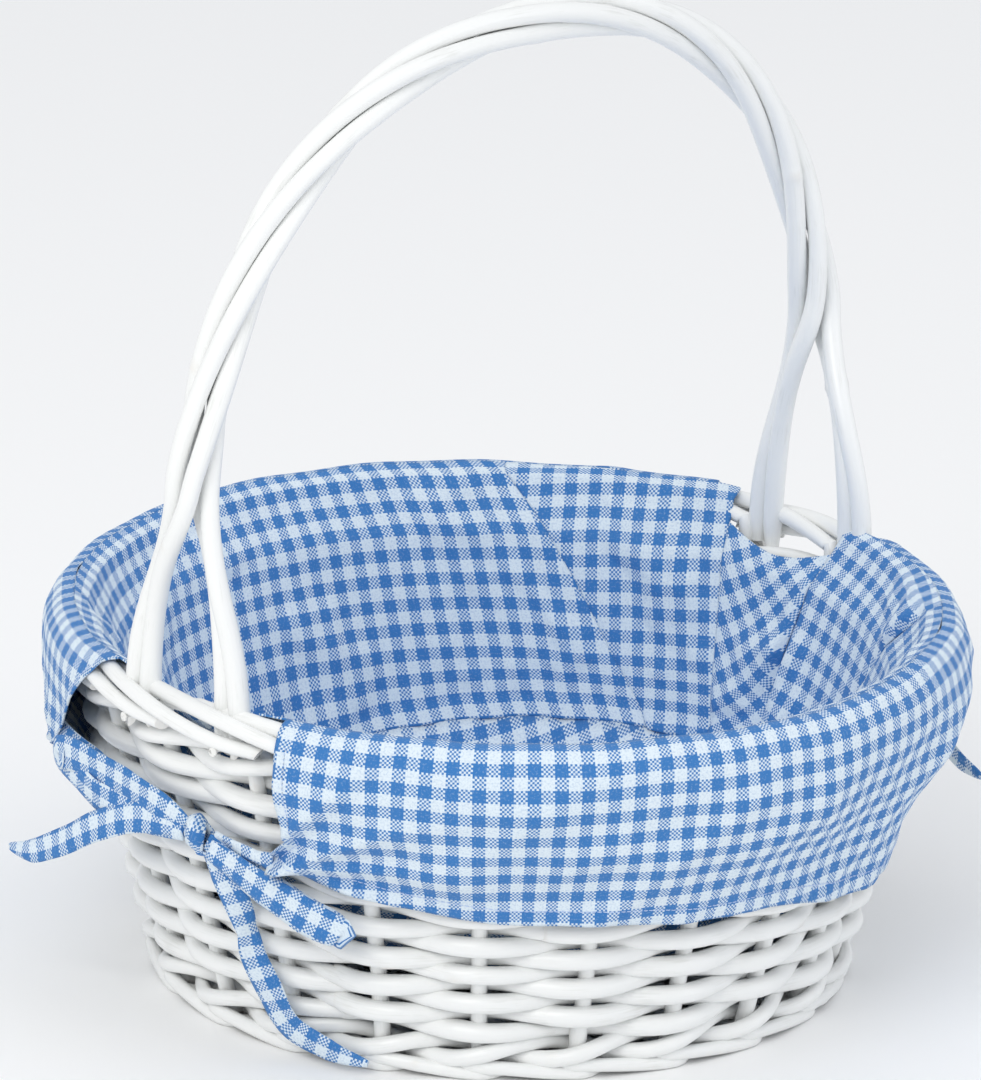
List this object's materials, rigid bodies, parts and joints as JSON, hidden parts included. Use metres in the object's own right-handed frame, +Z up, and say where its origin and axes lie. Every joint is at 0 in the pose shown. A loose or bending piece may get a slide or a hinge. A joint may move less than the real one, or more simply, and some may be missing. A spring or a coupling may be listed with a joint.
{
  "type": "wicker picnic basket",
  "caption": "Round willow basket with a fixed twisted arch handle and a removable gingham liner folded over the rim and tied with bows.",
  "frame": {"origin": "centre of the basket's underside, on the surface it stands on", "axes": "+Z up, the handle arches in the XZ plane from -X to +X"},
  "size_m": [0.3298, 0.3304, 0.3535],
  "materials": {
    "painted_willow": "white gloss paint over peeled willow rods",
    "gingham_cotton": "blue and white checked plain-weave cotton",
    "nail_steel": "small steel nails painted over with the willow"
  },
  "bodies": {
    "root": {"base_sticks_under": "painted_willow", "base_sticks_over": "painted_willow", "base_weave": "painted_willow", "foot_row": "painted_willow", "foot_pairing": "painted_willow", "side_stakes": "painted_willow", "side_row_01": "painted_willow", "side_row_02": "painted_willow", "side_row_03": "painted_willow", "side_row_04": "painted_willow", "side_row_05": "painted_willow", "side_row_06": "painted_willow", "side_row_07": "painted_willow", "side_row_08": "painted_willow", "side_row_09": "painted_willow", "side_row_10": "painted_willow", "side_row_11": "painted_willow", "side_row_12": "painted_willow", "side_row_13": "painted_willow", "side_row_14": "painted_willow", "side_row_15": "painted_willow", "side_row_16": "painted_willow", "top_pairing": "painted_willow", "rim_border": "painted_willow", "handle_rod_1": "painted_willow", "handle_rod_2": "painted_willow", "handle_rod_3": "painted_willow", "handle_rod_4": "painted_willow", "handle_nails": "nail_steel", "liner_floor": "gingham_cotton", "liner_panel_front": "gingham_cotton", "liner_panel_back": "gingham_cotton", "liner_gussets": "gingham_cotton", "liner_handle_panels": "gingham_cotton", "skirt_front": "gingham_cotton", "skirt_back": "gingham_cotton", "bow_west_knot": "gingham_cotton", "bow_west_loop_high": "gingham_cotton", "bow_west_loop_low": "gingham_cotton", "bow_west_tail_side": "gingham_cotton", "bow_west_tail_down": "gingham_cotton", "bow_west_strap_back": "gingham_cotton", "bow_west_strap_front": "gingham_cotton", "bow_east_knot": "gingham_cotton", "bow_east_loop_high": "gingham_cotton", "bow_east_loop_low": "gingham_cotton", "bow_east_tail_side": "gingham_cotton", "bow_east_tail_down": "gingham_cotton", "bow_east_strap_back": "gingham_cotton", "bow_east_strap_front": "gingham_cotton"}
  },
  "joints": []
}
